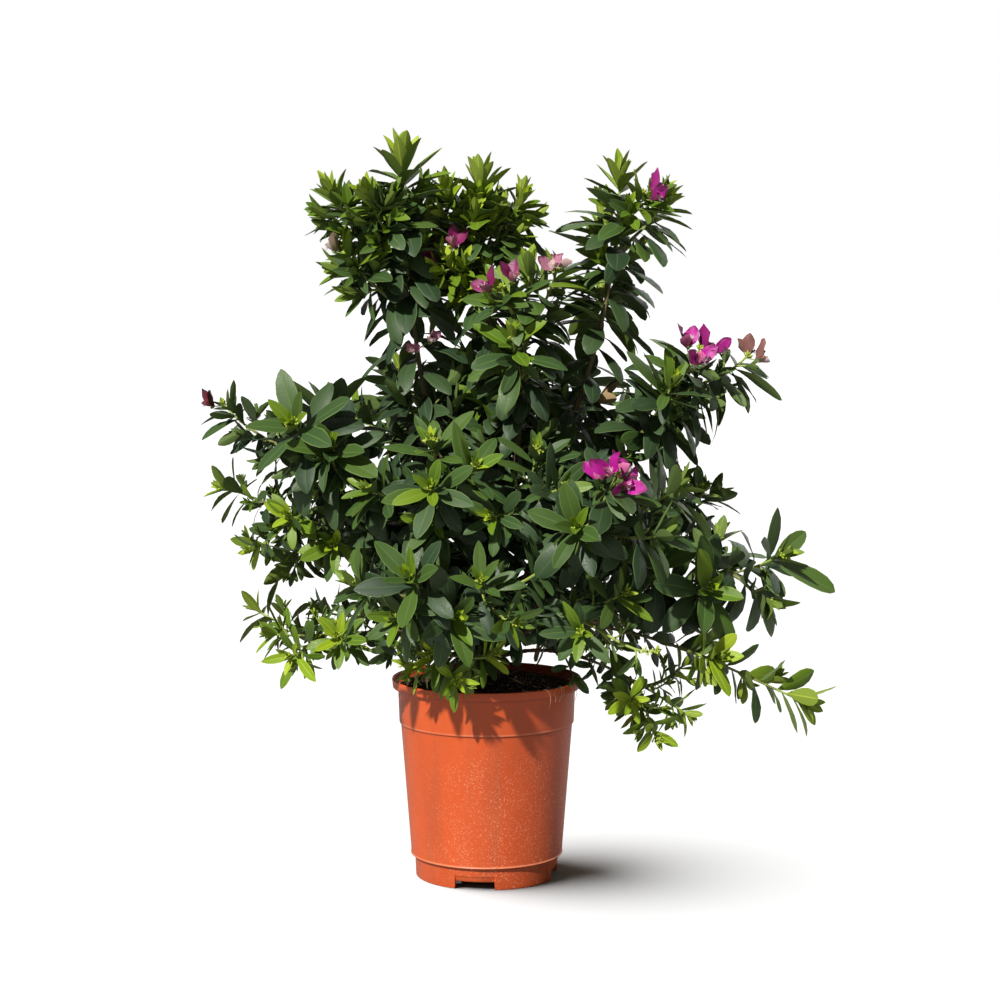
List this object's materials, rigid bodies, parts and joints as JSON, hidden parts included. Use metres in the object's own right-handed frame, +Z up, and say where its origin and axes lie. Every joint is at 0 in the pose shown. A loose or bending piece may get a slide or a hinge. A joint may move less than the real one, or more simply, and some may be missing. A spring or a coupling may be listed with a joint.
{
  "type": "potted milkwort shrub",
  "caption": "Bushy evergreen milkwort shrub with magenta flowers, growing in a round terracotta-coloured plastic nursery pot.",
  "frame": {"origin": "on the ground under the middle of the pot's flat foot", "axes": "+Z up; -Y is the side with most flowers, the one the picture shows; +X to the right of it"},
  "size_m": [0.5059, 0.3829, 0.5847],
  "materials": {
    "pot": "semi-matt moulded plastic, lime-spotted",
    "compost": "moist peat compost",
    "bark": "thin brown bark",
    "leaves": "smooth leathery leaves"
  },
  "bodies": {
    "root": {"bough_back_left": "bark", "bough_back_left_high": "bark", "bough_back_low_left": "bark", "bough_back_low_right": "bark", "bough_back_middle": "bark", "bough_back_middle_high": "bark", "bough_back_right": "bark", "bough_back_right_high": "bark", "bough_front_left": "bark", "bough_front_low": "bark", "bough_front_low_middle": "bark", "bough_front_middle": "bark", "bough_front_right": "bark", "bough_front_right_low": "bark", "bough_left_shoulder": "bark", "bough_low_left": "bark", "bough_low_right": "bark", "bough_low_right_short": "bark", "bough_mid_left": "bark", "bough_middle_front": "bark", "bough_right_arm": "bark", "bough_right_mid": "bark", "bough_right_shoulder": "bark", "bough_rim_front": "bark", "bough_tall_left": "bark", "bough_tall_middle": "bark", "bough_tall_right": "bark", "foliage_back_left": "leaves", "foliage_back_left_high": "leaves", "foliage_back_low_left": "leaves", "foliage_back_low_right": "leaves", "foliage_back_middle": "leaves", "foliage_back_middle_high": "leaves", "foliage_back_right": "leaves", "foliage_back_right_high": "leaves", "foliage_front_left": "leaves", "foliage_front_low": "leaves", "foliage_front_low_middle": "leaves", "foliage_front_middle": "leaves", "foliage_front_right": "leaves", "foliage_front_right_low": "leaves", "foliage_left_shoulder": "leaves", "foliage_low_left": "leaves", "foliage_low_right": "leaves", "foliage_low_right_short": "leaves", "foliage_mid_left": "leaves", "foliage_middle_front": "leaves", "foliage_right_arm": "leaves", "foliage_right_mid": "leaves", "foliage_right_shoulder": "leaves", "foliage_rim_front": "leaves", "foliage_tall_left": "leaves", "foliage_tall_middle": "leaves", "foliage_tall_right": "leaves", "pot": "pot", "soil": "compost", "trunk": "bark"}
  },
  "joints": []
}
